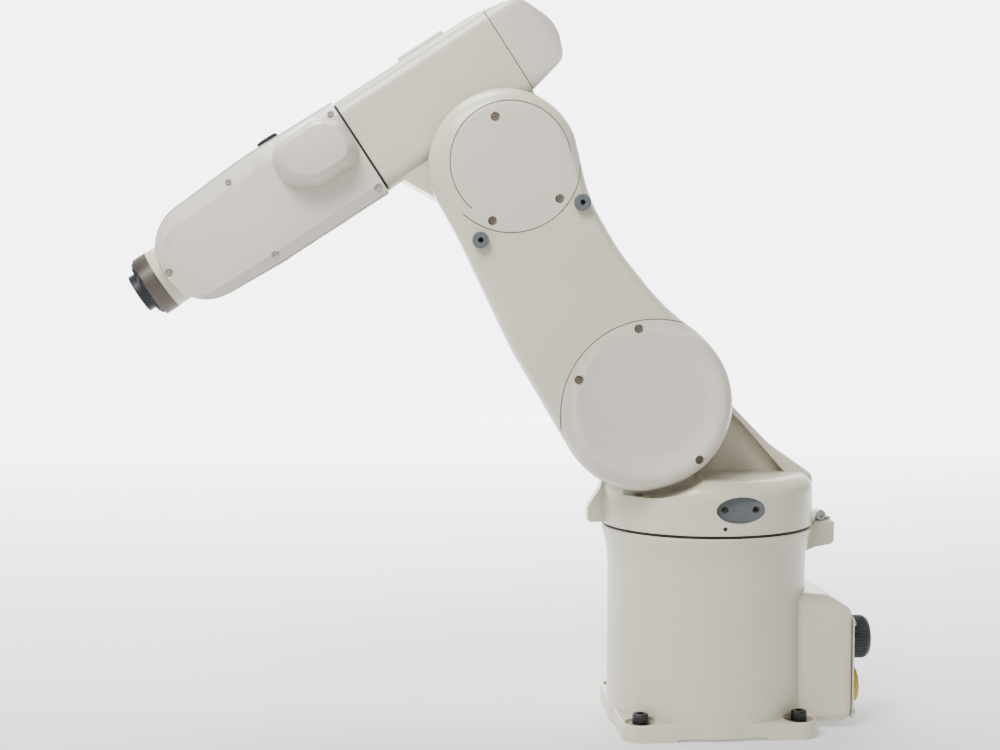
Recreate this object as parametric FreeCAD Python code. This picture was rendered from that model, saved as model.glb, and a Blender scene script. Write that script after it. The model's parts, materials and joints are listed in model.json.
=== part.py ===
import FreeCAD, Part
import math
import os

# A six-axis articulated robot arm, in millimetres, +Z up.
# Origin: the first joint's axis on the mounting face. +X is the robot's front, +Y its left.

# ---- driving dimensions -----------------------------------------------------------------
SHOULDER_X = 75.0          # first axis to second axis, forward
SHOULDER_Z = 335.0         # mounting face to second axis
UPPER_ARM = 270.0          # second axis to third axis
ELBOW_RISE = 90.0          # third axis to the forearm's centre line
FOREARM = 295.0            # third axis to fifth axis, along the forearm
FLANGE_REACH = 80.0        # fifth axis to the tool flange face
LEAN = 30.0                # upper arm's forward lean from vertical in the stored pose
DIP = 33.0                 # forearm's dip below horizontal in the stored pose

PLATE = 197.0              # base plate, square
PLATE_T = 17.0
BOLT_AT = 80.0             # base bolts at (+-80, +-80)
DRUM_R = 101.5
COLLAR_R = 108.0           # drum's flared top and the turret
SEAM_Z = 203.0             # top of the fixed base
TURRET_Z = 206.0           # underside of the turret
DECK_Z = 258.0
ARM_BACK = 58.0            # upper arm's inner face, in Y
ARM_SIDE = 78.0            # where its side wall starts to round over
ARM_FACE = 94.0            # its outer face
COVER_Y = 84.0             # parting plane under the arm covers
GAP = 0.8                  # parting line between a cover and its casting
FORE_HALF = 52.0           # forearm half width, in Y
FORE_LOW = 41.0            # forearm's lower and upper faces, above the third axis
FORE_TOP = 141.0
SPLIT = 110.0              # fourth joint's parting plane, along the forearm
WRIST_HALF = 54.0
WRIST_PART = 48.0          # parting plane of the wrist's side covers
REAR_SPLIT = -61.0         # parting plane of the forearm's rear cover

Y_AXIS = FreeCAD.Vector(0, 1, 0)
Z_AXIS = FreeCAD.Vector(0, 0, 1)
X_AXIS = FreeCAD.Vector(1, 0, 0)
parts = {}


# ---- shape helpers ----------------------------------------------------------------------
def vec(x, y, z):
    return FreeCAD.Vector(x, y, z)


def outline(corners, y=0.0):
    """A closed wire in a plane of constant Y, from (x, z, corner radius) corners."""
    count = len(corners)
    points = [vec(x, y, z) for x, z, r in corners]
    stretches = []
    for i, (x, z, r) in enumerate(corners):
        here = points[i]
        back = (points[i - 1] - here).normalize()
        ahead = (points[(i + 1) % count] - here).normalize()
        if r == 0:
            stretches.append((here, None, here))
            continue
        half = back.getAngle(ahead) / 2
        middle = (back + ahead).normalize()
        centre = here + middle * (r / math.sin(half))
        reach = r / math.tan(half)
        stretches.append((here + back * reach, centre - middle * r, here + ahead * reach))
    edges = []
    for i, (start, middle, end) in enumerate(stretches):
        if middle is not None:
            edges.append(Part.Arc(start, middle, end).toShape())
        edges.append(Part.LineSegment(end, stretches[(i + 1) % count][0]).toShape())
    return Part.Wire(edges)


def prism(corners, y0, y1):
    return Part.Face(outline(corners, y0)).extrude(vec(0, y1 - y0, 0))


def block(x0, x1, y0, y1, z0, z1):
    return Part.makeBox(x1 - x0, y1 - y0, z1 - z0, vec(x0, y0, z0))


def rod_x(y, z, r, x0, x1):
    return Part.makeCylinder(r, x1 - x0, vec(x0, y, z), X_AXIS)


def rod_y(x, z, r, y0, y1):
    return Part.makeCylinder(r, y1 - y0, vec(x, y0, z), Y_AXIS)


def rod_z(x, y, r, z0, z1):
    return Part.makeCylinder(r, z1 - z0, vec(x, y, z0), Z_AXIS)


def ring(make, a, b, r_in, r_out, start, end):
    """A plain ring: one rod less another, through the given rod function."""
    return make(a, b, r_out, start, end).cut(make(a, b, r_in, start - 1, end + 1))


def bar_x(half_y, z0, z1, r, x0, x1):
    """A bar along X whose YZ section is a rounded rectangle."""
    corners = [(-half_y, z0, r), (half_y, z0, r), (half_y, z1, r), (-half_y, z1, r)]
    bar = Part.Face(outline(corners)).extrude(vec(0, x1 - x0, 0))
    bar.rotate(vec(0, 0, 0), Z_AXIS, -90)
    bar.translate(vec(x0, 0, 0))
    return bar


def oval(x, z, half_x, half_z, y0, y1):
    curve = Part.Ellipse(vec(x + half_x, y0, z), vec(x, y0, z + half_z), vec(x, y0, z))
    return Part.Face(Part.Wire([curve.toShape()])).extrude(vec(0, y1 - y0, 0))


def blend(low, high, share):
    return [tuple(a + (b - a) * share for a, b in zip(p, q)) for p, q in zip(low, high)]


def crown(low, high, y0, y1):
    """A cap that rounds over from the low outline at y0 to the smaller high outline at y1."""
    steps = [0, 8, 16, 26, 38, 52, 66, 79, 90]
    wires = []
    for angle in steps:
        turn = math.radians(angle)
        inset = 0.55 * (1 - math.cos(turn)) + 0.45 * (angle / 90.0)
        wires.append(outline(blend(low, high, inset), y0 + (y1 - y0) * math.sin(turn)))
    return Part.makeLoft(wires, True, True)


def inset(corners, depth):
    """The same outline moved inwards by a depth; its round corners keep their centres."""
    count = len(corners)
    turn = sum(corners[i - 1][0] * corners[i][1] - corners[i][0] * corners[i - 1][1]
               for i in range(count))
    hand = 1 if turn > 0 else -1
    moved = []
    for i, (x, z, r) in enumerate(corners):
        back = vec(x - corners[i - 1][0], 0, z - corners[i - 1][1]).normalize()
        onward = corners[(i + 1) % count]
        ahead = vec(onward[0] - x, 0, onward[1] - z).normalize()
        normal_a = vec(-back.z, 0, back.x) * hand
        normal_b = vec(-ahead.z, 0, ahead.x) * hand
        shift = (normal_a + normal_b) * (depth / (1 + normal_a.dot(normal_b)))
        convex = (back.x * ahead.z - back.z * ahead.x) * hand > 0
        radius = 0 if r == 0 else (r - depth if convex else r + depth)
        moved.append((x + shift.x, z + shift.z, radius))
    return moved


def pillow(corners, y0, y1, r0, r1):
    """A slab between y0 and y1 whose edges are rounded: by r0 at the low end, r1 at the high."""
    turns = [math.radians(a) for a in (90, 70, 50, 32, 15, 0)]
    wires = []
    if r0:
        for a in turns:
            wires.append(outline(inset(corners, r0 * (1 - math.cos(a))), y0 + r0 * (1 - math.sin(a))))
    else:
        wires.append(outline(corners, y0))
    if r1:
        for a in reversed(turns):
            wires.append(outline(inset(corners, r1 * (1 - math.cos(a))), y1 - r1 * (1 - math.sin(a))))
    else:
        wires.append(outline(corners, y1))
    return Part.makeLoft(wires, True, True)


def bevelled(side, face, half, height):
    """A slab centred on Y = 0, bevelled from its side outline in to its face outline."""
    levels = [(-half, face), (height - half, side), (half - height, side), (half, face)]
    return Part.makeLoft([outline(corners, y) for y, corners in levels], True, True)


def join(shapes):
    body = shapes[0]
    for shape in shapes[1:]:
        body = body.fuse(shape)
    return body.removeSplitter()


def cut(body, tools):
    for tool in tools:
        body = body.cut(tool)
    return body


def soften(body, radius, chosen):
    """Fillet the edges for which chosen(edge's bounding box) holds."""
    edges = [edge for edge in body.Edges if chosen(edge.BoundBox)]
    return body.makeFillet(radius, edges)


def cap_screw(x, y, z, direction, head_r, head_h, shank_r, shank_l):
    """A socket cap screw: its bearing face at the point, its head along the direction."""
    head = Part.makeCylinder(head_r, head_h, vec(0, 0, 0), Z_AXIS)
    head = head.makeChamfer(head_h * 0.12, [head.Edges[0]])
    shank = Part.makeCylinder(shank_r, shank_l + 0.2, vec(0, 0, -shank_l), Z_AXIS)
    hexagon = Part.makePolygon([vec(head_r * 0.52 * math.cos(math.radians(60 * k)),
                                    head_r * 0.52 * math.sin(math.radians(60 * k)),
                                    head_h * 0.45) for k in range(7)])
    socket = Part.Face(hexagon).extrude(vec(0, 0, head_h))
    screw = head.fuse(shank).cut(socket)
    screw.Placement = FreeCAD.Placement(vec(x, y, z), FreeCAD.Rotation(Z_AXIS, direction))
    return screw


def place(shape, frame):
    shape = shape.copy()
    shape.Placement = frame.multiply(shape.Placement)
    return shape


def keep(name, shape, frame=None):
    """Register one sub-part, moved from its link's own frame into the robot's."""
    if isinstance(shape, list):
        shape = Part.makeCompound(shape)
    parts[name] = place(shape, frame) if frame else shape


# Link frames. The upper arm is drawn upright with the second axis at its origin; the forearm
# is drawn level with the third axis at its origin.
shoulder = vec(SHOULDER_X, 0, SHOULDER_Z)
lean = math.radians(LEAN)
elbow = shoulder + vec(UPPER_ARM * math.sin(lean), 0, UPPER_ARM * math.cos(lean))
ARM = FreeCAD.Placement(shoulder, FreeCAD.Rotation(Y_AXIS, LEAN))
FORE = FreeCAD.Placement(elbow, FreeCAD.Rotation(Y_AXIS, DIP))


# ---- base ---------------------------------------------------------------------------------
def drum():
    """The flared drum, revolved about the first axis."""
    low = vec(DRUM_R, 0, 160)
    high = vec(COLLAR_R, 0, 200)
    flare = Part.BezierCurve()
    flare.setPoles([low, vec(DRUM_R, 0, 178), vec(104.5, 0, 188), high])
    edges = [Part.LineSegment(vec(0, 0, 0), vec(DRUM_R, 0, 0)).toShape(),
             Part.LineSegment(vec(DRUM_R, 0, 0), low).toShape(),
             flare.toShape(),
             Part.LineSegment(high, vec(COLLAR_R, 0, SEAM_Z - 1)).toShape(),
             Part.LineSegment(vec(COLLAR_R, 0, SEAM_Z - 1), vec(COLLAR_R - 1, 0, SEAM_Z)).toShape(),
             Part.LineSegment(vec(COLLAR_R - 1, 0, SEAM_Z), vec(0, 0, SEAM_Z)).toShape(),
             Part.LineSegment(vec(0, 0, SEAM_Z), vec(0, 0, 0)).toShape()]
    return Part.Face(Part.Wire(edges)).revolve(vec(0, 0, 0), Z_AXIS, 360)


def base_plate():
    plate = block(-PLATE / 2, PLATE / 2, -PLATE / 2, PLATE / 2, 0, PLATE_T)
    plate = soften(plate, 20, lambda b: b.ZLength > PLATE_T - 1)
    return soften(plate, 1.5, lambda b: b.ZMin > PLATE_T - 0.1)


def connector_housing():
    corners = [(-80, 6.5, 0), (-141, 6.5, 11), (-141, 121, 14), (-116, 136, 18), (-80, 138.5, 0)]
    body = pillow(corners, -60, 60, 10, 10)
    for pitch in (-4, -31):
        mould = bar_x(60, -250, 0, 16, -200, 200)
        mould.rotate(vec(0, 0, 0), Y_AXIS, pitch)
        mould.translate(vec(-116, 0, 136))
        body = body.common(mould)
    return body


LUG_TOP = 205.4            # just under the turret's horn
STOP_Z = 211.0             # the stop screw, level with the horn


def stop_lug():
    """The rear lug, with a small upstand that holds the horn's stop screw."""
    corners = [(-98, 172, 0), (-112, 178, 10), (-132, 181.5, 6), (-132, LUG_TOP, 3),
               (-109.5, LUG_TOP, 0), (-109.5, SEAM_Z, 0), (-98, SEAM_Z, 0)]
    upstand = rod_y(-118, STOP_Z, 5.2, -6, 6).fuse(block(-123.2, -112.8, -6, 6, LUG_TOP - 2, STOP_Z))
    return pillow(corners, -13, 13, 2.5, 2.5).fuse(upstand)


def panel_corners():
    return [(y, z) for y in (-51, 51) for z in (15, 106)]


PANEL_X = -142.5           # outer face of the connector panel


def bolt_places():
    return [(sx * BOLT_AT, sy * BOLT_AT) for sx in (-1, 1) for sy in (-1, 1)]


def base_casting():
    body = join([drum(), base_plate(), connector_housing(), stop_lug()])
    tools = [rod_z(0, 0, 90, -1, 186), rod_z(0, 0, 80.3, 180, SEAM_Z + 1)]
    for x, y in bolt_places():
        tools.append(rod_z(x, y, 15, 13.3, 20))
        tools.append(rod_z(x, y, 5.5, -1, 20))
    tools.append(block(-45, 45, -PLATE, PLATE, -1, 3))
    tools.append(block(-PLATE / 2 - 1, PLATE, -45, 45, -1, 3))
    tools.append(block(-142, -107, -46, 46, 20, 108))
    for y, z in panel_corners():
        tools.append(rod_x(y, z, 1.5, -142, -134))
    tools.append(rod_x(0, 70, 26, -110, -80))
    tools.append(rod_y(-118, STOP_Z, 3.05, -7, 7))
    tools.append(rod_z(-127.5, 0, 1.95, 196, LUG_TOP + 1))
    return cut(body, tools)


def build_base():
    keep("base_casting", base_casting())
    keep("base_bolts", [cap_screw(x, y, 15.6, Z_AXIS, 8, 10, 4.9, 14.5) for x, y in bolt_places()])
    keep("base_washers", [ring(rod_z, x, y, 5.3, 11, 13.3, 15.6) for x, y in bolt_places()])
    panel = block(PANEL_X, -141, -56, 56, 9, 112)
    panel = soften(panel, 4, lambda b: b.XLength > 1)
    panel = cut(panel, [rod_x(25, 87, 17.2, -146, -140), rod_x(25, 38, 14.2, -146, -140)])
    panel = cut(panel, [rod_x(y, z, 1.5, -146, -140) for y, z in panel_corners()])
    keep("connector_panel", panel)
    keep("panel_screws",
         [cap_screw(PANEL_X, y, z, X_AXIS * -1, 3, 2.2, 1.45, 7) for y, z in panel_corners()])
    seat = PANEL_X - 0.1
    shell = rod_x(25, 87, 22, seat - 21, seat).fuse(rod_x(25, 87, 17, seat - 0.1, -132))
    shell = cut(shell, [rod_x(25, 87, 18, seat - 22, seat - 6)])
    keep("main_connector", join([shell, rod_x(25, 87, 17.7, seat - 8, seat)]))
    cap = rod_x(25, 38, 18, seat - 6.4, seat).fuse(rod_x(25, 38, 14, seat - 11.4, -132))
    keep("signal_connector", cap)
    keep("signal_connector_band", ring(rod_x, 25, 38, 14.1, 17.6, seat - 9.9, seat - 6.45))
    keep("stop_screws", [cap_screw(-118, 6, STOP_Z, Y_AXIS, 5.3, 4.8, 3, 11),
                         cap_screw(-127.5, 0, LUG_TOP, Z_AXIS, 3, 3, 1.9, 8)])
    keep("j1_motor", join([rod_z(0, 0, 38, 22, 110), block(-42, 42, -42, 42, 104, 112)]))
    keep("j1_reducer", rod_z(0, 0, 50, 112, 186).fuse(rod_z(0, 0, 86, 176, 185.9)).removeSplitter())
    keep("j1_bearing_outer", ring(rod_z, 0, 0, 66.4, 80.2, 187, 203))
    keep("j1_seal", ring(rod_z, 0, 0, 94, 106, SEAM_Z, 205.6))


# ---- turret -------------------------------------------------------------------------------
TOWER_FAR = -86            # the tower's face on the robot's right


SCOOP_R = 94.5             # hollow in the turret's top, round the shoulder lobe
PORT_X = -14.2
PORT_Z = 230.9


def tower_outline():
    return [(-107.5, 225, 0), (-107.5, 254, 12), (-62, 286, 90), (48.4, 399, 62),
            (139, 399, 62), (139, 322, 30), (97, 268, 10), (97, 225, 0)]


def tower():
    """The shoulder tower: a wall with a soft rear slope, recessed on its left side."""
    wall = pillow(tower_outline(), TOWER_FAR, 22, 8, 8)
    wall = wall.common(rod_z(0, 0, COLLAR_R - 0.2, 206, 420).fuse(block(0, 150, -90, 30, 206, 420)))
    recess = [(-78, 240, 0), (-78, 256, 6), (-30, 310, 20), (10, 348, 10), (100, 348, 0), (100, 240, 0)]
    wall = wall.cut(prism(recess, 5, 30))
    boss = rod_y(SHOULDER_X, SHOULDER_Z, 62, 0, 51)
    return join([wall, boss])


def motor_cover_spots():
    turns = [math.radians(a) for a in (45, 135, 225, 315)]
    return [(SHOULDER_X + 47 * math.cos(t), SHOULDER_Z + 47 * math.sin(t)) for t in turns]


def turret_casting():
    drum_part = rod_z(0, 0, COLLAR_R, TURRET_Z, DECK_Z)
    drum_part = soften(drum_part, 17, lambda b: b.ZMin > DECK_Z - 1)
    horn = [(95, TURRET_Z + 0.5, 0), (124, TURRET_Z + 0.5, 3), (124, 222, 6), (111, 242, 20),
            (109, 254, 0), (95, 254, 0)]
    body = join([drum_part, prism(horn, -8.5, 8.5), tower()])
    sweep = rod_y(SHOULDER_X, SHOULDER_Z, SCOOP_R, 52, 120)
    step = block(SHOULDER_X, 112, 52, 120, SHOULDER_Z - SCOOP_R, 300)
    tools = [sweep, step, oval(PORT_X, PORT_Z, 24.6, 13.2, 97, 120),
             rod_y(SHOULDER_X, SHOULDER_Z, 48.3, 0, 60),
             rod_y(SHOULDER_X, SHOULDER_Z, 41, -78, 2),
             rod_y(1.7, 213, 2.1, 90, 120),
             rod_z(0, 0, 60, 212, 248)]
    for x in (-29.6, 1.1):
        tools.append(rod_y(x, PORT_Z, 3.4, 82, 120))
    for x, z in motor_cover_spots():
        tools.append(rod_y(x, z, 1.55, TOWER_FAR - 1, -79))
    return cut(body, tools)


def build_turret():
    keep("turret_casting", turret_casting())
    plate = oval(PORT_X, PORT_Z, 24.2, 12.8, 97, 102)
    keep("port_plate", cut(plate, [rod_y(x, PORT_Z, 3.4, 90, 110) for x in (-29.6, 1.1)]))
    keep("vent_plug", rod_y(1.7, 213, 2, 96, 106.5))
    keep("stop_pad", block(SHOULDER_X + 0.5, 83, 53, 62, SHOULDER_Z - SCOOP_R, SHOULDER_Z - SCOOP_R + 1))
    cover = [(23, 283, 50), (127, 283, 50), (127, 387, 50), (23, 387, 50)]
    top = [(35, 295, 39), (115, 295, 39), (115, 375, 39), (35, 375, 39)]
    dome = crown(cover, top, 0, 14)
    dome = dome.mirror(vec(0, 0, 0), Y_AXIS)
    dome.translate(vec(0, TOWER_FAR, 0))
    spots = motor_cover_spots()
    dome = cut(dome, [rod_y(x, z, 4.2, -105, -92) for x, z in spots])
    dome = cut(dome, [rod_y(x, z, 1.55, -93, TOWER_FAR + 1) for x, z in spots])
    keep("shoulder_motor_cover", dome)
    keep("shoulder_motor_cover_screws",
         [cap_screw(x, -92, z, Y_AXIS * -1, 3.4, 3.2, 1.5, 12) for x, z in spots])
    keep("j1_bearing_inner", ring(rod_z, 0, 0, 49, 65.8, 187, TURRET_Z))
    keep("j1_output_flange", rod_z(0, 0, 48, 186.6, TURRET_Z))
    keep("j2_motor", join([rod_y(SHOULDER_X, SHOULDER_Z, 38, -78, -4),
                          rod_y(SHOULDER_X, SHOULDER_Z, 40.5, -8, 0)]))
    keep("j2_reducer", rod_y(SHOULDER_X, SHOULDER_Z, 48, 0, 55.4))


# ---- upper arm ----------------------------------------------------------------------------
ARM_LOW = [(87.5, -84, 81), (-83.3, -84, 79), (-83.3, 22.7, 100), (-61.4, 71.4, 215),
           (-49.9, 143, 200), (-49.9, 202, 150), (-68, 262, 40), (-69, 343, 72), (78.5, 343, 74),
           (79.5, 232, 200), (89.2, 112, 200)]
ARM_HIGH = [(80.5, -68, 66), (-67, -68, 62), (-67, 20, 70), (-50, 70, 180),
            (-40.5, 143, 180), (-40.5, 203, 110), (-52, 258, 30), (-52, 322, 50), (49, 322, 50),
            (62, 232, 200), (81.5, 112, 200)]
SEAM_CENTRE = -11.5        # the shoulder cover's arc is struck from just below the axis
SEAM_R = 92.0
ELBOW_SEAM_R = 67.5


def shoulder_ring():
    """The low raised rim of the shoulder cover; it fades out towards the elbow."""
    crest = Part.BSplineCurve()
    crest.interpolate([vec(45, 92.2, 0), vec(53, 92.6, 0), vec(60, 94.2, 0), vec(66, 96.4, 0),
                       vec(71, 97.4, 0), vec(75, 96.6, 0), vec(79.5, 92.6, 0), vec(83.2, 85, 0)])
    edges = [crest.toShape(),
             Part.LineSegment(vec(83.2, 85, 0), vec(83.2, 80, 0)).toShape(),
             Part.LineSegment(vec(83.2, 80, 0), vec(45, 80, 0)).toShape(),
             Part.LineSegment(vec(45, 80, 0), vec(45, 92.2, 0)).toShape()]
    rim = Part.Face(Part.Wire(edges)).revolve(vec(0, 0, 0), Y_AXIS, 360)
    rim.rotate(vec(0, 88, 0), X_AXIS, 2.6)
    return rim.common(prism(ARM_LOW, 79, 110))


def arm_solid():
    side = prism(ARM_LOW, ARM_BACK, ARM_SIDE)
    cap = crown(ARM_LOW, ARM_HIGH, ARM_SIDE, ARM_FACE)
    return side.fuse(cap).fuse(shoulder_ring())


def shoulder_zone(grow):
    return rod_y(0, SEAM_CENTRE, SEAM_R + grow, COVER_Y - grow, 120)


def elbow_zone(grow):
    lower = rod_y(0, UPPER_ARM, ELBOW_SEAM_R + grow, COVER_Y - grow, 120)
    lower = lower.common(block(-100, 100, 80, 120, 150, 250))
    upper = rod_y(0, UPPER_ARM, 58 + grow, COVER_Y - grow, 120)
    return lower.fuse(upper)


SHOULDER_SCREWS = [(-27.4, 68.4), (47.7, 54.9), (-15.0, -71.8)]
ELBOW_SCREWS = [(-8.1, 314.5), (-23.1, 215.9), (43.8, 230.0)]
BOSSES = [(-39.9, 202.1), (63.1, 219.9)]


COVER_SEAT = 90            # the cover screws' heads bear here
COVER_THREAD = 10


def screw_seats(places):
    """A counterbore for each head and a hole for each shank."""
    tools = [rod_y(x, z, 4.4, COVER_SEAT, 110) for x, z in places]
    return tools + [rod_y(x, z, 1.55, COVER_SEAT - COVER_THREAD - 0.5, COVER_SEAT + 1) for x, z in places]


def cover_screws(places):
    return [cap_screw(x, COVER_SEAT, z, Y_AXIS, 3.2, 2.9, 1.5, COVER_THREAD) for x, z in places]


def build_upper_arm():
    whole = arm_solid()
    casting = cut(whole, [shoulder_zone(GAP), elbow_zone(GAP)])
    pockets = [rod_y(0, 0, 60, 64, 90), rod_y(0, UPPER_ARM, 49.3, 64, 70),
               rod_y(0, UPPER_ARM, 40.6, 64, 90), block(-24, 40, 64, 84, 30, 235)]
    pockets = pockets + screw_seats(SHOULDER_SCREWS + ELBOW_SCREWS)
    casting = cut(casting, pockets + [rod_y(0, 0, 46.4, 50, 70), rod_y(0, UPPER_ARM, 44.4, 50, 70)])
    keep("upper_arm_casting", cut(casting, [rod_y(x, z, 5.6, 84, 110) for x, z in BOSSES]), ARM)
    cover = whole.common(shoulder_zone(0))
    cover = cut(cover, [rod_y(0, 0, 44, 83, 89)] + screw_seats(SHOULDER_SCREWS))
    keep("shoulder_cover", cover, ARM)
    cover = whole.common(elbow_zone(0))
    cover = cut(cover, [rod_y(0, UPPER_ARM, 40.6, 83, 89)] + screw_seats(ELBOW_SCREWS))
    keep("elbow_cover", cover, ARM)
    keep("shoulder_cover_screws", cover_screws(SHOULDER_SCREWS), ARM)
    keep("elbow_cover_screws", cover_screws(ELBOW_SCREWS), ARM)
    bosses = []
    for x, z in BOSSES:
        post = rod_y(x, z, 5.4, 84, 90).fuse(rod_y(x, z, 8, 96, 101)).fuse(rod_y(x, z, 5.4, 90, 97))
        bosses.append(cut(post.removeSplitter(), [rod_y(x, z, 2.6, 90, 105)]))
    keep("tapped_bosses", bosses, ARM)
    keep("j2_output_flange", rod_y(0, 0, 46, 56.2, 64).fuse(rod_y(0, 0, 54, 64, 69)).removeSplitter(), ARM)
    keep("j3_reducer", rod_y(0, UPPER_ARM, 44, 53.4, 64).fuse(
        rod_y(0, UPPER_ARM, 49, 64, 69)).removeSplitter(), ARM)
    keep("j3_motor", rod_y(0, UPPER_ARM, 40, 69, 88), ARM)
    keep("arm_harness", Part.makeCylinder(7, 150, vec(10, 73, 62), Z_AXIS), ARM)


# ---- forearm ------------------------------------------------------------------------------
REAR_NORMAL = vec(-0.21, 0, 1).normalize()


def forearm_side():
    return [(SPLIT, FORE_LOW, 0), (SPLIT, FORE_TOP, 0), (-50, 140, 60), (-97, 130, 24),
            (-117, 88, 34), (-103, 56, 16), (-58, 45.5, 60)]


def forearm_plan():
    """Rear corners rounded in plan, as an outline in X and Y."""
    half = FORE_HALF + 1
    bar = Part.Face(outline([(-118, -half, 26), (SPLIT + 1, -half, 0), (SPLIT + 1, half, 0),
                             (-118, half, 26)])).extrude(vec(0, 200, 0))
    bar.rotate(vec(0, 0, 0), X_AXIS, 90)
    return bar


def forearm_shell():
    side = prism(forearm_side(), -FORE_HALF, FORE_HALF)
    section = bar_x(FORE_HALF, FORE_LOW, FORE_TOP, 17, -120, SPLIT)
    return side.common(section).common(forearm_plan())


def forearm_neck():
    """The elbow end: a round eye about the third axis, drawn up into the forearm."""
    web = [(91.5, 60, 0), (93, 41, 4), (56.9, -29.2, 0), (-58.2, -26.6, 0), (-61, 60, 0)]
    eye = rod_y(0, 0, 64, -48, 46)
    return eye.fuse(prism(web, -48, 46))


def build_forearm():
    shell = forearm_shell()
    front = block(REAR_SPLIT + GAP / 2, SPLIT, -60, 60, -80, 160)
    casting = join([shell.common(front), forearm_neck().common(front)])
    cavity = bar_x(44, 50, 132, 12, REAR_SPLIT - 10, 100)
    casting = cut(casting, [cavity, rod_x(0, 90, 38.4, 90, SPLIT + 5), rod_y(0, 0, 42, -40, 38)])
    keep("forearm_casting", casting, FORE)
    cover = shell.common(block(-130, REAR_SPLIT - GAP / 2, -60, 60, 0, 160))
    hollow = prism([(-50, 50, 0), (-50, 130, 0), (-92, 121, 20), (-106, 90, 25), (-94, 62, 14)], -44, 44)
    screws = [cap_screw(-84, y, 133.2, REAR_NORMAL, 2.6, 1.6, 1.2, 6) for y in (-30, 30)]
    holes = [Part.makeCylinder(1.25, 12, vec(-84, y, 133.2) - REAR_NORMAL * 11, REAR_NORMAL)
             for y in (-30, 30)]
    keep("forearm_rear_cover", cut(cover, [hollow] + holes), FORE)
    keep("rear_cover_screws", screws, FORE)
    lid = bar_x(24, -2, 4.5, 3, -19, 33)
    lid = soften(lid, 2.5, lambda b: b.XLength < 0.1)
    lid.translate(vec(0, 0, 140.9))
    lid = lid.common(block(-40, 60, -40, 40, FORE_TOP, 160))
    keep("forearm_top_cover", lid, FORE)
    keep("j3_output_flange", rod_y(0, 0, 40, 46, 53), FORE)
    keep("j4_motor", rod_x(0, 90, 28, -24, 60).fuse(block(52, 60, -32, 32, 58, 122)).removeSplitter(), FORE)
    keep("j4_reducer", rod_x(0, 90, 38.2, 60, 108), FORE)
    seal = bar_x(50.6, 42.6, 139.2, 16, SPLIT, 112.0).cut(bar_x(43, 50, 132, 12, 105, 115))
    keep("j4_seal", seal, FORE)


# ---- wrist --------------------------------------------------------------------------------
WRIST_X0 = 112.5
MOTOR5 = (150.0, 106.0)


def wrist_side():
    return [(100, 38.5, 0), (100, 142.5, 0), (215, 145, 300), (339.5, 137, 47), (339, 44, 44),
            (235, 38.5, 200)]


def wrist_face():
    """The covers' flat face: the bevel round it runs out at the tip."""
    return [(100, 52, 0), (100, 130, 0), (215, 126.5, 300), (338, 121, 33), (337.7, 52, 33),
            (235, 50.5, 200)]


def wrist_dome():
    low = [(113, 78, 18), (166, 78, 34), (196, 99, 24), (191, 141, 27), (131, 141, 22), (113, 122, 14)]
    high = [(123, 92, 14), (161, 92, 22), (179, 104, 16), (175, 129, 14), (136, 130, 16), (123, 117, 8)]
    return crown(low, high, 50, 82)


def wrist_shell():
    body = bevelled(wrist_side(), wrist_face(), WRIST_HALF, 6)
    body = body.common(block(WRIST_X0, 350, -60, 60, 30, 150))
    far_dome = wrist_dome().mirror(vec(0, 0, 0), Y_AXIS)
    return body.fuse(wrist_dome()).fuse(far_dome)


WRIST_SCREWS = [(119.0, 133.7), (238.0, 132.2), (334.0, 89.8), (238.5, 48.0), (119.0, 48.0)]


def belt_loop(r_a, r_b):
    """The outline round both pulleys: two discs and the tangent strip between them."""
    ax, az = MOTOR5
    bx, bz = FOREARM, ELBOW_RISE
    run = math.hypot(bx - ax, bz - az)
    slope = math.atan2(bz - az, bx - ax)
    spread = math.acos((r_b - r_a) / run)
    corners = []
    for side in (1, -1):
        turn = slope + math.pi + side * spread
        near = (ax - r_a * math.cos(turn), az - r_a * math.sin(turn), 0)
        far = (bx - r_b * math.cos(turn), bz - r_b * math.sin(turn), 0)
        corners += [near, far] if side == 1 else [far, near]
    strip = prism(corners, 48.4, 51.6)
    return rod_y(ax, az, r_a, 48.4, 51.6).fuse(rod_y(bx, bz, r_b, 48.4, 51.6)).fuse(strip)


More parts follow.
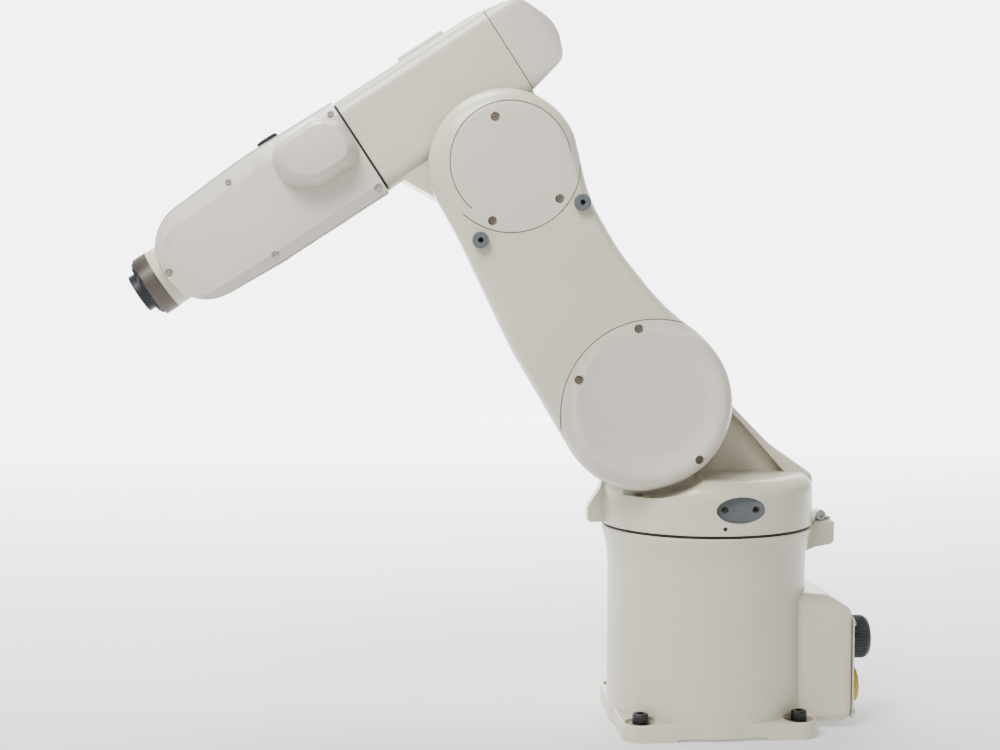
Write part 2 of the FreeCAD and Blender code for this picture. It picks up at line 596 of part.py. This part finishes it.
def build_wrist():
    whole = wrist_shell()
    middle = block(100, 350, -WRIST_PART + GAP / 2, WRIST_PART - GAP / 2, 30, 150)
    slot = prism([(350, 30, 0), (350, 150, 0), (226, 150, 0), (243, 112, 12), (243, 68, 12),
                  (226, 30, 0)], -33.5, 33.5)
    room = block(124, 218, -40, 60, 52, 130)
    core = cut(whole.common(middle), [slot, room, rod_x(0, 90, 36.4, 100, 126),
                                      rod_y(FOREARM, ELBOW_RISE, 30.3, 30, 60),
                                      rod_y(FOREARM, ELBOW_RISE, 18.3, -60, -30)])
    shanks = [rod_y(x, z, 1.55, -60, 60) for x, z in WRIST_SCREWS]
    core = cut(core, [shank.common(block(100, 350, -60, -43, 30, 150)) for shank in shanks])
    core = cut(core, [shank.common(block(100, 350, 43, 60, 30, 150)) for shank in shanks])
    keep("wrist_housing", core, FORE)
    seats = shanks + [rod_y(x, z, 4, 51.5, 70) for x, z in WRIST_SCREWS]
    near = whole.common(block(100, 350, WRIST_PART + GAP / 2, 90, 30, 150))
    inner = belt_loop(17, 29)
    inner.translate(vec(0, -0.6, 0))
    bulge = rod_y(MOTOR5[0], MOTOR5[1], 17, 47, 76)
    near = cut(near, seats + [inner, belt_loop(17, 29), bulge])
    keep("wrist_left_cover", near, FORE)
    far = whole.common(block(100, 350, -90, -WRIST_PART - GAP / 2, 30, 150))
    far_seats = shanks + [rod_y(x, z, 4, -70, -51.5) for x, z in WRIST_SCREWS]
    far = cut(far, far_seats + [rod_y(MOTOR5[0], MOTOR5[1], 20, -76, -47)])
    keep("wrist_right_cover", far, FORE)
    screws = []
    for x, z in WRIST_SCREWS:
        screws.append(cap_screw(x, 51.5, z, Y_AXIS, 2.75, 2.6, 1.5, 8))
        screws.append(cap_screw(x, -51.5, z, Y_AXIS * -1, 2.75, 2.6, 1.5, 8))
    keep("wrist_cover_screws", screws, FORE)
    stand = block(176, 213, -15, 15, 142, 145)
    stand = stand.cut(whole)
    keep("wrist_port_base", stand, FORE)
    keep("wrist_port_cap", rod_z(184.5, 0, 11.5, 145, 150.8), FORE)
    keep("j4_output_flange", rod_x(0, 90, 36, 108.6, 124), FORE)
    keep("j5_motor", rod_y(MOTOR5[0], MOTOR5[1], 19, -4, 46), FORE)
    keep("j5_motor_pulley", rod_y(MOTOR5[0], MOTOR5[1], 4, 46, 60).fuse(
        rod_y(MOTOR5[0], MOTOR5[1], 12, 48.4, 56)).removeSplitter(), FORE)
    keep("j5_belt", belt_loop(13.6, 25.6).cut(belt_loop(12.1, 24.1)), FORE)
    keep("j5_pulley", ring(rod_y, FOREARM, ELBOW_RISE, 4, 24, 48.4, 51.6), FORE)
    keep("j5_reducer", rod_y(FOREARM, ELBOW_RISE, 30, 33.4, 47).fuse(
        rod_y(FOREARM, ELBOW_RISE, 4, 47, 51.6)).removeSplitter(), FORE)
    keep("j5_bearing", ring(rod_y, FOREARM, ELBOW_RISE, 12.05, 18.2, -45, -34), FORE)
    keep("j6_motor", rod_y(MOTOR5[0] + 44, ELBOW_RISE, 19, -38, 20), FORE)


# ---- wrist pitch and tool flange ----------------------------------------------------------
def build_tool_end():
    hub = rod_y(FOREARM, ELBOW_RISE, 44, -32.5, 32.5)
    hub = soften(hub, 4, lambda b: b.YLength < 0.1)
    snout = rod_x(0, ELBOW_RISE, 31, FOREARM, 348)
    body = join([hub, snout])
    keep("wrist_pitch_casting", cut(body, [rod_x(0, ELBOW_RISE, 24, 316, 350)]), FORE)
    keep("j5_journal", rod_y(FOREARM, ELBOW_RISE, 12, -46, -32.5), FORE)
    keep("j6_reducer", rod_x(0, ELBOW_RISE, 23.8, 316, 352), FORE)
    collar = ring(rod_x, 0, ELBOW_RISE, 24.0, 31.5, 348, 363)
    collar = soften(collar, 1.2, lambda b: b.XLength < 0.1 and b.XMin > 350 and b.YLength > 60)
    keep("wrist_end_ring", collar, FORE)
    face = FOREARM + FLANGE_REACH
    disc = rod_x(0, ELBOW_RISE, 26, 363.5, 367).fuse(rod_x(0, ELBOW_RISE, 20, 367, face))
    disc = disc.fuse(rod_x(0, ELBOW_RISE, 22, 352.4, 363.6)).removeSplitter()
    tools = [rod_x(0, ELBOW_RISE, 10, face - 7, face + 1)]
    for k in range(4):
        turn = math.radians(45 + 90 * k)
        tools.append(rod_x(15.75 * math.sin(turn), ELBOW_RISE + 15.75 * math.cos(turn), 2.5,
                           face - 7, face + 1))
    tools.append(rod_x(15.75, ELBOW_RISE, 2.0, face - 6, face + 1))
    keep("tool_flange", cut(disc, tools), FORE)


build_base()
build_turret()
build_upper_arm()
build_forearm()
build_wrist()
build_tool_end()

os.makedirs("parts", exist_ok=True)
for name, shape in parts.items():
    if not shape.isValid():
        print("invalid", name)
    shape.exportStep("parts/" + name + ".step")
print(len(parts), "sub-parts")
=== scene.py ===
import json
import math

import bmesh
import bpy
from mathutils import Matrix, Vector


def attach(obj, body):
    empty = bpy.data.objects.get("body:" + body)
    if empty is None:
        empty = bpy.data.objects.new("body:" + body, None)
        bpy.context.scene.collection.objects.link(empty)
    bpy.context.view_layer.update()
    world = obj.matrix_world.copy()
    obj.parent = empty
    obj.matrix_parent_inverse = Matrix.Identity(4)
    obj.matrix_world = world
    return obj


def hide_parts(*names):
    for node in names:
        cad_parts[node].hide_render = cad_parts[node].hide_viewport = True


# The scene is in metres. New pieces are drawn in millimetres, in the robot's own frame or in the
# forearm's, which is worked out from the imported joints.
MM = 0.001
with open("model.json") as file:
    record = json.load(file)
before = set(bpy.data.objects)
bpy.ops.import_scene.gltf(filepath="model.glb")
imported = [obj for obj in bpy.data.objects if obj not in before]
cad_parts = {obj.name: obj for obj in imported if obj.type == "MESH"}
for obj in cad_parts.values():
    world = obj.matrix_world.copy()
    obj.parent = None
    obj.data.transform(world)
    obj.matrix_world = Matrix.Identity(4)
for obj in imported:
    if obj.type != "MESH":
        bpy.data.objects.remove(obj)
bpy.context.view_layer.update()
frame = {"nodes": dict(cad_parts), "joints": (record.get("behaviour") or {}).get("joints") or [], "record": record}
NODES = frame["nodes"]
JOINTS = {joint["name"]: joint for joint in frame["joints"]}
Y_AXIS = Vector((0, 1, 0))


# ---- frames that new pieces are drawn in --------------------------------------------------
ELBOW = Vector(JOINTS["j3_elbow"]["pos_m"])
FORE_DIRECTION = Vector(JOINTS["j6_flange_turn"]["axis"])


def link_matrix(origin, x_axis):
    """A link's own frame: its x axis as given, its y axis the robot's, in metres."""
    z_axis = x_axis.cross(Y_AXIS)
    turn = Matrix((x_axis, Y_AXIS, z_axis)).transposed().to_4x4()
    return Matrix.Translation(origin) @ turn


FORE = link_matrix(ELBOW, FORE_DIRECTION)
ROBOT = Matrix.Identity(4)


# ---- materials ----------------------------------------------------------------------------
NOISE_SPAN = (0.3, 0.7)     # nearly all of a noise texture's values lie between these


def node_at(tree, kind, **settings):
    """A new shader node, with its properties and its inputs set by name."""
    node = tree.nodes.new(kind)
    for key, value in settings.items():
        if hasattr(node, key):
            setattr(node, key, value)
        else:
            node.inputs[key.replace("_", " ")].default_value = value
    return node


def new_material(name, roughness, metallic=0.0, coat=0.0):
    material = bpy.data.materials.new(name)
    material.use_nodes = True
    shader = material.node_tree.nodes["Principled BSDF"]
    shader.inputs["Roughness"].default_value = roughness
    shader.inputs["Metallic"].default_value = metallic
    shader.inputs["Coat Weight"].default_value = coat
    shader.inputs["Coat Roughness"].default_value = 0.18
    return material, material.node_tree, shader


def object_coordinates(tree):
    return node_at(tree, "ShaderNodeTexCoord").outputs["Object"]


def noise(tree, where, scale, detail=3.0):
    texture = node_at(tree, "ShaderNodeTexNoise", Scale=scale, Detail=detail)
    tree.links.new(where, texture.inputs["Vector"])
    return texture.outputs["Fac"]


def mix_colour(tree, factor, dark, light):
    ramp = node_at(tree, "ShaderNodeValToRGB")
    ramp.color_ramp.elements[0].position = NOISE_SPAN[0]
    ramp.color_ramp.elements[0].color = (*dark, 1)
    ramp.color_ramp.elements[1].position = NOISE_SPAN[1]
    ramp.color_ramp.elements[1].color = (*light, 1)
    tree.links.new(factor, ramp.inputs["Fac"])
    return ramp.outputs["Color"]


def map_range(tree, value, source, target):
    """The value carried from the source range to the target range, and clamped to it."""
    span = node_at(tree, "ShaderNodeMapRange", From_Min=source[0], From_Max=source[1],
                   To_Min=target[0], To_Max=target[1])
    tree.links.new(value, span.inputs["Value"])
    return span.outputs["Result"]


def add_bump(tree, shader, height, distance, strength, edge_radius):
    """Fine relief on the surface, over edges that shade as if rounded to the radius."""
    bump = node_at(tree, "ShaderNodeBump", Distance=distance, Strength=strength)
    tree.links.new(height, bump.inputs["Height"])
    rounded = node_at(tree, "ShaderNodeBevel", samples=4, Radius=edge_radius)
    tree.links.new(rounded.outputs["Normal"], bump.inputs["Normal"])
    tree.links.new(bump.outputs["Normal"], shader.inputs["Normal"])


def scaled(colour, factor):
    return tuple(channel * factor for channel in colour)


def paint(name, colour, roughness, edge_radius=0.0009, coat=0.25):
    """Powder coat: a slow drift in tone, fine orange peel, and a thin clear gloss."""
    material, tree, shader = new_material(name, roughness, coat=coat)
    where = object_coordinates(tree)
    drift = noise(tree, where, 9.0, 2.0)
    colours = mix_colour(tree, drift, scaled(colour, 0.965), scaled(colour, 1.02))
    tree.links.new(colours, shader.inputs["Base Color"])
    gloss = map_range(tree, noise(tree, where, 60.0), NOISE_SPAN,
                      (roughness - 0.04, roughness + 0.05))
    tree.links.new(gloss, shader.inputs["Roughness"])
    add_bump(tree, shader, noise(tree, where, 750.0, 2.0), 0.00006, 0.5, edge_radius)
    return material


def plastic(name, colour, roughness, grain=1600.0):
    """Moulded plastic or rubber: a light mottle in tone and gloss, and a fine grain."""
    material, tree, shader = new_material(name, roughness)
    where = object_coordinates(tree)
    mottle = noise(tree, where, 140.0)
    tree.links.new(mix_colour(tree, mottle, scaled(colour, 0.85), scaled(colour, 1.2)),
                   shader.inputs["Base Color"])
    gloss = map_range(tree, mottle, NOISE_SPAN, (roughness - 0.06, roughness + 0.08))
    tree.links.new(gloss, shader.inputs["Roughness"])
    add_bump(tree, shader, noise(tree, where, grain, 2.0), 0.00005, 0.6, 0.0004)
    return material


def metal(name, colour, roughness):
    """Bare or blackened metal: a fine surface grain, and duller patches."""
    material, tree, shader = new_material(name, roughness, metallic=1.0)
    where = object_coordinates(tree)
    grain = noise(tree, where, 900.0, 4.0)
    patches = noise(tree, where, 40.0)
    tree.links.new(mix_colour(tree, patches, scaled(colour, 0.8), scaled(colour, 1.12)),
                   shader.inputs["Base Color"])
    gloss = map_range(tree, patches, NOISE_SPAN, (roughness - 0.06, roughness + 0.1))
    tree.links.new(gloss, shader.inputs["Roughness"])
    add_bump(tree, shader, grain, 0.00003, 0.5, 0.0003)
    return material


CREAM = (0.53, 0.497, 0.385)
COVER = (0.548, 0.503, 0.435)
MATERIALS = {
    "paint_cream": paint("paint_cream", CREAM, 0.34),
    "paint_cover": paint("paint_cover", COVER, 0.32),
    "dark_steel": metal("dark_steel", (0.045, 0.045, 0.05), 0.36),
    "ring_steel": metal("ring_steel", (0.115, 0.103, 0.09), 0.4),
    "bright_steel": metal("bright_steel", (0.42, 0.41, 0.39), 0.34),
    "bronze_screw": metal("bronze_screw", (0.20, 0.17, 0.13), 0.42),
    "grey_fitting": paint("grey_fitting", (0.075, 0.088, 0.094), 0.5, 0.0005, 0.0),
    "black_plastic": plastic("black_plastic", (0.012, 0.013, 0.015), 0.42),
    "grey_plastic": plastic("grey_plastic", (0.38, 0.37, 0.32), 0.45),
    "yellow_plastic": plastic("yellow_plastic", (0.52, 0.40, 0.03), 0.4),
    "black_rubber": plastic("black_rubber", (0.010, 0.010, 0.011), 0.7, 900.0),
    "motor_black": plastic("motor_black", (0.02, 0.02, 0.022), 0.4),
    "drive_steel": metal("drive_steel", (0.45, 0.45, 0.46), 0.28),
    "drive_aluminium": metal("drive_aluminium", (0.62, 0.62, 0.63), 0.3),
}
SLOT_OF = {part["node"]: part["material_slot"] for part in frame["record"]["subparts"]}


def smoothing_group(angle):
    """Joins the facets' corners and shades them smooth, apart from edges sharper than the angle."""
    group = bpy.data.node_groups.new("smooth_by_angle", "GeometryNodeTree")
    group.interface.new_socket("Geometry", in_out="INPUT", socket_type="NodeSocketGeometry")
    group.interface.new_socket("Geometry", in_out="OUTPUT", socket_type="NodeSocketGeometry")
    entry = group.nodes.new("NodeGroupInput")
    leave = group.nodes.new("NodeGroupOutput")
    merge = group.nodes.new("GeometryNodeMergeByDistance")
    merge.inputs["Distance"].default_value = 0.00001
    forget = group.nodes.new("GeometryNodeRemoveAttribute")
    forget.inputs["Name"].default_value = "custom_normal"
    faces = group.nodes.new("GeometryNodeSetShadeSmooth")
    faces.domain = "FACE"
    edges = group.nodes.new("GeometryNodeSetShadeSmooth")
    edges.domain = "EDGE"
    edges.inputs["Shade Smooth"].default_value = False
    sharp = group.nodes.new("GeometryNodeInputMeshEdgeAngle")
    above = group.nodes.new("FunctionNodeCompare")
    above.operation = "GREATER_THAN"
    above.inputs["B"].default_value = angle
    link = group.links.new
    link(entry.outputs["Geometry"], merge.inputs["Geometry"])
    link(merge.outputs["Geometry"], forget.inputs["Geometry"])
    link(forget.outputs["Geometry"], faces.inputs["Geometry"])
    link(faces.outputs["Geometry"], edges.inputs["Geometry"])
    link(sharp.outputs["Unsigned Angle"], above.inputs["A"])
    link(above.outputs["Result"], edges.inputs["Selection"])
    link(edges.outputs["Geometry"], leave.inputs["Geometry"])
    return group


SMOOTHING = smoothing_group(math.radians(20))


def smooth(piece):
    modifier = piece.modifiers.new("smooth", "NODES")
    modifier.node_group = SMOOTHING


def dress_cad_nodes():
    """Give each CAD node the finish that its slot names, and smooth shading."""
    for name, node in NODES.items():
        node.data.materials.clear()
        node.data.materials.append(MATERIALS[SLOT_OF[name]])
        smooth(node)


dress_cad_nodes()


# ---- mesh helpers -------------------------------------------------------------------------
def add_piece(name, mesh, slot, body, place=ROBOT, replaced=()):
    """Add one new piece to the scene with its finish and its body, and hide the CAD nodes it stands for."""
    mesh.materials.append(MATERIALS[slot])
    piece = bpy.data.objects.new(name, mesh)
    bpy.context.scene.collection.objects.link(piece)
    mesh.transform(place)
    smooth(piece)
    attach(piece, body)
    if replaced:
        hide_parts(*replaced)
    return piece


def turned(profile, axis_place, count=64, ripple=None):
    """A turned solid: (radius, distance along the axis) pairs spun about local +Z.

    ripple(index, turn) changes the radius of a profile point round the turn, for knurls."""
    shape = bmesh.new()
    rings = []
    for index, (radius, along) in enumerate(profile):
        ring = []
        for step in range(count):
            turn = 2 * math.pi * step / count
            r = radius + (ripple(index, step) if ripple else 0.0)
            ring.append(shape.verts.new((r * math.cos(turn), r * math.sin(turn), along)))
        rings.append(ring)
    for low, high in zip(rings, rings[1:]):
        for step in range(count):
            after = (step + 1) % count
            shape.faces.new((low[step], low[after], high[after], high[step]))
    shape.faces.new(list(reversed(rings[0])))
    shape.faces.new(rings[-1])
    bmesh.ops.transform(shape, matrix=axis_place, verts=shape.verts)
    return shape


def to_mesh(name, shapes):
    """Join several bmesh solids, drawn in millimetres, into one mesh in metres."""
    whole = bmesh.new()
    for shape in shapes:
        part = bpy.data.meshes.new("part")
        shape.to_mesh(part)
        shape.free()
        whole.from_mesh(part)
        bpy.data.meshes.remove(part)
    mesh = bpy.data.meshes.new(name)
    bmesh.ops.recalc_face_normals(whole, faces=whole.faces)
    whole.to_mesh(mesh)
    whole.free()
    mesh.transform(Matrix.Scale(MM, 4))
    return mesh


def axis_at(x, y, z, direction):
    """A frame in millimetres at the point, with its local +Z along the direction."""
    turn = Vector(direction).to_track_quat("Z", "Y").to_matrix().to_4x4()
    return Matrix.Translation((x, y, z)) @ turn


# ---- connectors on the base's rear panel --------------------------------------------------
CONNECTOR_X = -142.6        # where the connectors start, just clear of the rear panel
CONNECTOR_Y = 25.0
MAIN_CONNECTOR_Z = 87.0
SIGNAL_CONNECTOR_Z = 38.0
REARWARD = (-1, 0, 0)
RIB_STEPS = 4               # each rib of a grip and the groove after it, in steps of the turn


def in_groove(step):
    return step % RIB_STEPS >= RIB_STEPS // 2


def pins(rings, length, radius, sink):
    """Round contacts in rings, each (count, pitch radius), from sink along the axis."""
    shapes = []
    for count, pitch in rings:
        for step in range(count):
            turn = 2 * math.pi * step / count
            spot = Matrix.Translation((pitch * math.cos(turn), pitch * math.sin(turn), sink))
            shapes.append(turned([(radius, 0), (radius, length - 0.4), (radius * 0.5, length)],
                                 spot, 12))
    return shapes


def build_main_connector():
    """A black coupling nut with a ribbed grip, and the insert with its contacts inside it."""
    place = axis_at(CONNECTOR_X, CONNECTOR_Y, MAIN_CONNECTOR_Z, REARWARD)
    ribs = 42
    groove_depth = 0.75
    grip = range(3, 6)

    def ripple(index, step):
        return -groove_depth if index in grip and in_groove(step) else 0.0

    nut = [(17.0, 0.0), (20.6, 0.0), (21.3, 0.7), (22.0, 1.6), (22.0, 8.0), (22.0, 15.3),
           (21.2, 17.3), (20.0, 19.2), (18.6, 20.5), (17.6, 20.9), (17.0, 20.3), (17.0, 9.0),
           (15.6, 8.4), (3.0, 8.4)]
    shape = turned(nut, place, ribs * RIB_STEPS, ripple)
    add_piece("main_connector_nut", to_mesh("main_connector_nut", [shape]), "black_plastic",
              "base", replaced=("main_connector",))
    contacts = pins([(12, 12.2), (8, 7.8), (3, 3.2)], 7.0, 0.9, 8.3)
    for contact in contacts:
        bmesh.ops.transform(contact, matrix=place, verts=contact.verts)
    add_piece("main_connector_contacts", to_mesh("main_connector_contacts", contacts),
              "bright_steel", "base")


def build_signal_connector():
    """A pale round cap with a domed face and a coloured band."""
    place = axis_at(CONNECTOR_X, CONNECTOR_Y, SIGNAL_CONNECTOR_Z, REARWARD)
    skirt = [(13.0, 0.0), (17.4, 0.0), (18.0, 0.6), (18.0, 2.4), (17.3, 3.6)]
    dome = [(16.6 * math.cos(math.radians(a)), 3.8 + 6.6 * math.sin(math.radians(a)))
            for a in range(0, 86, 12)]
    shape = turned(skirt + [(16.8, 3.8)] + dome, place, 72)
    add_piece("signal_connector_cap", to_mesh("signal_connector_cap", [shape]), "grey_plastic",
              "base", replaced=("signal_connector",))
    band = [(16.7, 3.7), (17.75, 4.0), (17.75, 8.0), (16.4, 9.2), (11.2, 9.95), (11.0, 8.6)]
    shape = turned(band, place, 72)
    add_piece("signal_connector_stripe", to_mesh("signal_connector_stripe", [shape]),
              "yellow_plastic", "base", replaced=("signal_connector_band",))


# ---- wrist port ---------------------------------------------------------------------------
def build_port_cap():
    """The knurled cap over the port on the wrist's upper face."""
    cap_x = 184.5
    ribs = 30
    groove_depth = 0.55
    grip = range(3, 5)

    def ripple(index, step):
        return -groove_depth if index in grip and in_groove(step) else 0.0

    profile = [(8.0, 145.0), (10.6, 145.0), (11.2, 145.5), (11.5, 146.0), (11.5, 149.4),
               (10.9, 150.4), (9.6, 150.8), (8.6, 150.7), (8.2, 150.1), (2.0, 150.1)]
    shape = turned(profile, Matrix.Translation((cap_x, 0, 0)), ribs * RIB_STEPS, ripple)
    add_piece("port_cap_knurled", to_mesh("port_cap_knurled", [shape]), "black_plastic",
              "wrist_roll", FORE, replaced=("wrist_port_cap",))


# ---- small screws -------------------------------------------------------------------------
def socket_screw(radius, height, place):
    """A cap screw's head with a rounded rim and a six-sided socket."""
    depth = 0.55 * height
    hexagon_radius = 0.55 * radius
    profile = [(radius, 0), (radius, 0.8 * height), (0.93 * radius, 0.95 * height),
               (0.84 * radius, height), (0.66 * radius, height)]
    shape = turned(profile, Matrix.Identity(4), 36)
    lid = max(shape.faces, key=lambda face: face.calc_center_median().z)
    shape.faces.remove(lid)
    rim = [vert for vert in shape.verts if abs(vert.co.z - height) < 1e-6
           and vert.co.xy.length < 0.7 * radius]
    rim.sort(key=lambda vert: math.atan2(vert.co.y, vert.co.x))
    sides = 6
    steps = len(rim) // sides
    corners = []
    for step in range(len(rim)):
        side = step // steps
        share = (step % steps) / steps
        turn_a = -math.pi + 2 * math.pi * side / sides
        turn_b = -math.pi + 2 * math.pi * (side + 1) / sides
        a = Vector((math.cos(turn_a), math.sin(turn_a)))
        b = Vector((math.cos(turn_b), math.sin(turn_b)))
        corners.append((a + (b - a) * share) * hexagon_radius)
    top = [shape.verts.new((c.x, c.y, height)) for c in corners]
    floor = [shape.verts.new((c.x, c.y, height - depth)) for c in corners]
    count = len(rim)
    for step in range(count):
        after = (step + 1) % count
        shape.faces.new((rim[step], rim[after], top[after], top[step]))
        shape.faces.new((top[step], top[after], floor[after], floor[step]))
    shape.faces.new(floor)
    bmesh.ops.transform(shape, matrix=place, verts=shape.verts)
    return shape


def build_ring_screws():
    """Small screws round the dark ring behind the tool flange."""
    count = 8
    pitch = 28.7
    head_radius = 1.9
    head_height = 1.9
    ring_face_x = 363.0
    flange_axis_z = 90.0
    heads = []
    for step in range(count):
        turn = 2 * math.pi * (step + 0.5) / count
        place = axis_at(ring_face_x, pitch * math.sin(turn), flange_axis_z + pitch * math.cos(turn),
                        (1, 0, 0))
        heads.append(socket_screw(head_radius, head_height, place))
    add_piece("flange_ring_screws", to_mesh("flange_ring_screws", heads), "dark_steel",
              "wrist_pitch", FORE)


build_main_connector()
build_signal_connector()
build_port_cap()
build_ring_screws()


# ---- stage, light and camera --------------------------------------------------------------
def stage_material():
    """Pale and matt, brighter towards the wall behind the robot, and dim out to its sides."""
    material, tree, shader = new_material("stage", 0.9)
    where = object_coordinates(tree)
    drift = noise(tree, where, 3.0)
    tree.links.new(mix_colour(tree, drift, (0.56, 0.56, 0.56), (0.57, 0.57, 0.57)),
                   shader.inputs["Base Color"])
    split = node_at(tree, "ShaderNodeSeparateXYZ")
    tree.links.new(where, split.inputs["Vector"])
    rise = map_range(tree, split.outputs["Y"], (0.3, -2.5), (0.04, 4.6))
    aside = node_at(tree, "ShaderNodeMath", operation="ABSOLUTE")
    tree.links.new(split.outputs["X"], aside.inputs[0])
    fall = map_range(tree, aside.outputs[0], (1.7, 2.6), (1.0, 0.08))
    glow = node_at(tree, "ShaderNodeMath", operation="MULTIPLY")
    tree.links.new(rise, glow.inputs[0])
    tree.links.new(fall, glow.inputs[1])
    shader.inputs["Emission Color"].default_value = (1, 1, 1, 1)
    tree.links.new(glow.outputs[0], shader.inputs["Emission Strength"])
    return material


def build_stage():
    """A round floor that sweeps up into a low wall all round the robot."""
    floor_radius = 3.2
    bend_radius = 1.2
    wall_height = 4.5
    count = 96
    profile = [(floor_radius * step / 8, 0.0) for step in range(1, 9)]
    for step in range(1, 13):
        turn = math.radians(90 * step / 12)
        profile.append((floor_radius + bend_radius * math.sin(turn),
                        bend_radius * (1 - math.cos(turn))))
    profile.append((floor_radius + bend_radius, wall_height))
    shape = bmesh.new()
    centre = shape.verts.new((0, 0, 0))
    rings = []
    for radius, height in profile:
        turns = [2 * math.pi * step / count for step in range(count)]
        rings.append([shape.verts.new((radius * math.cos(t), radius * math.sin(t), height))
                      for t in turns])
    for step in range(count):
        after = (step + 1) % count
        shape.faces.new((centre, rings[0][step], rings[0][after]))
        for near, far in zip(rings, rings[1:]):
            shape.faces.new((near[step], far[step], far[after], near[after]))
    mesh = bpy.data.meshes.new("floor")
    shape.to_mesh(mesh)
    shape.free()
    for face in mesh.polygons:
        face.use_smooth = True
    mesh.materials.append(stage_material())
    floor = bpy.data.objects.new("floor", mesh)
    bpy.context.scene.collection.objects.link(floor)


def area_light(name, place, aim, size, power):
    """A square white light at the place, turned towards the aim; its size is in metres."""
    light = bpy.data.lights.new(name, "AREA")
    light.shape = "SQUARE"
    light.size = size
    light.energy = power
    holder = bpy.data.objects.new(name, light)
    holder.location = place
    holder.rotation_euler = (Vector(aim) - Vector(place)).to_track_quat("-Z", "Y").to_euler()
    bpy.context.scene.collection.objects.link(holder)


def build_lights():
    """A key light high on the tool's side, a weak front fill, a large top light, a dim world."""
    middle = (0.2, 0, 0.35)
    area_light("key", (0.95, 1.25, 1.95), middle, 0.9, 73)
    area_light("front", (0.4, 2.8, 1.2), middle, 1.2, 7)
    area_light("top", (0.9, -0.5, 2.8), middle, 1.2, 85)
    world = bpy.data.worlds.new("studio")
    world.use_nodes = True
    sky = world.node_tree.nodes["Background"]
    sky.inputs["Color"].default_value = (1.0, 1.0, 1.0, 1)
    sky.inputs["Strength"].default_value = 0.085
    bpy.context.scene.world = world


def build_camera():
    """The photo's view: its place and focal length come from fitting the arm's sizes to it."""
    eye = Vector((0.36506, 1.86233, 0.49634))
    aim = Vector((0.213, 0.0, 0.357))
    camera = bpy.data.cameras.new("camera")
    camera.lens = 66.39
    camera.sensor_width = 36.0
    holder = bpy.data.objects.new("camera", camera)
    holder.location = eye
    holder.rotation_euler = (aim - eye).to_track_quat("-Z", "Y").to_euler()
    bpy.context.scene.collection.objects.link(holder)
    bpy.context.scene.camera = holder


build_stage()
build_lights()
build_camera()
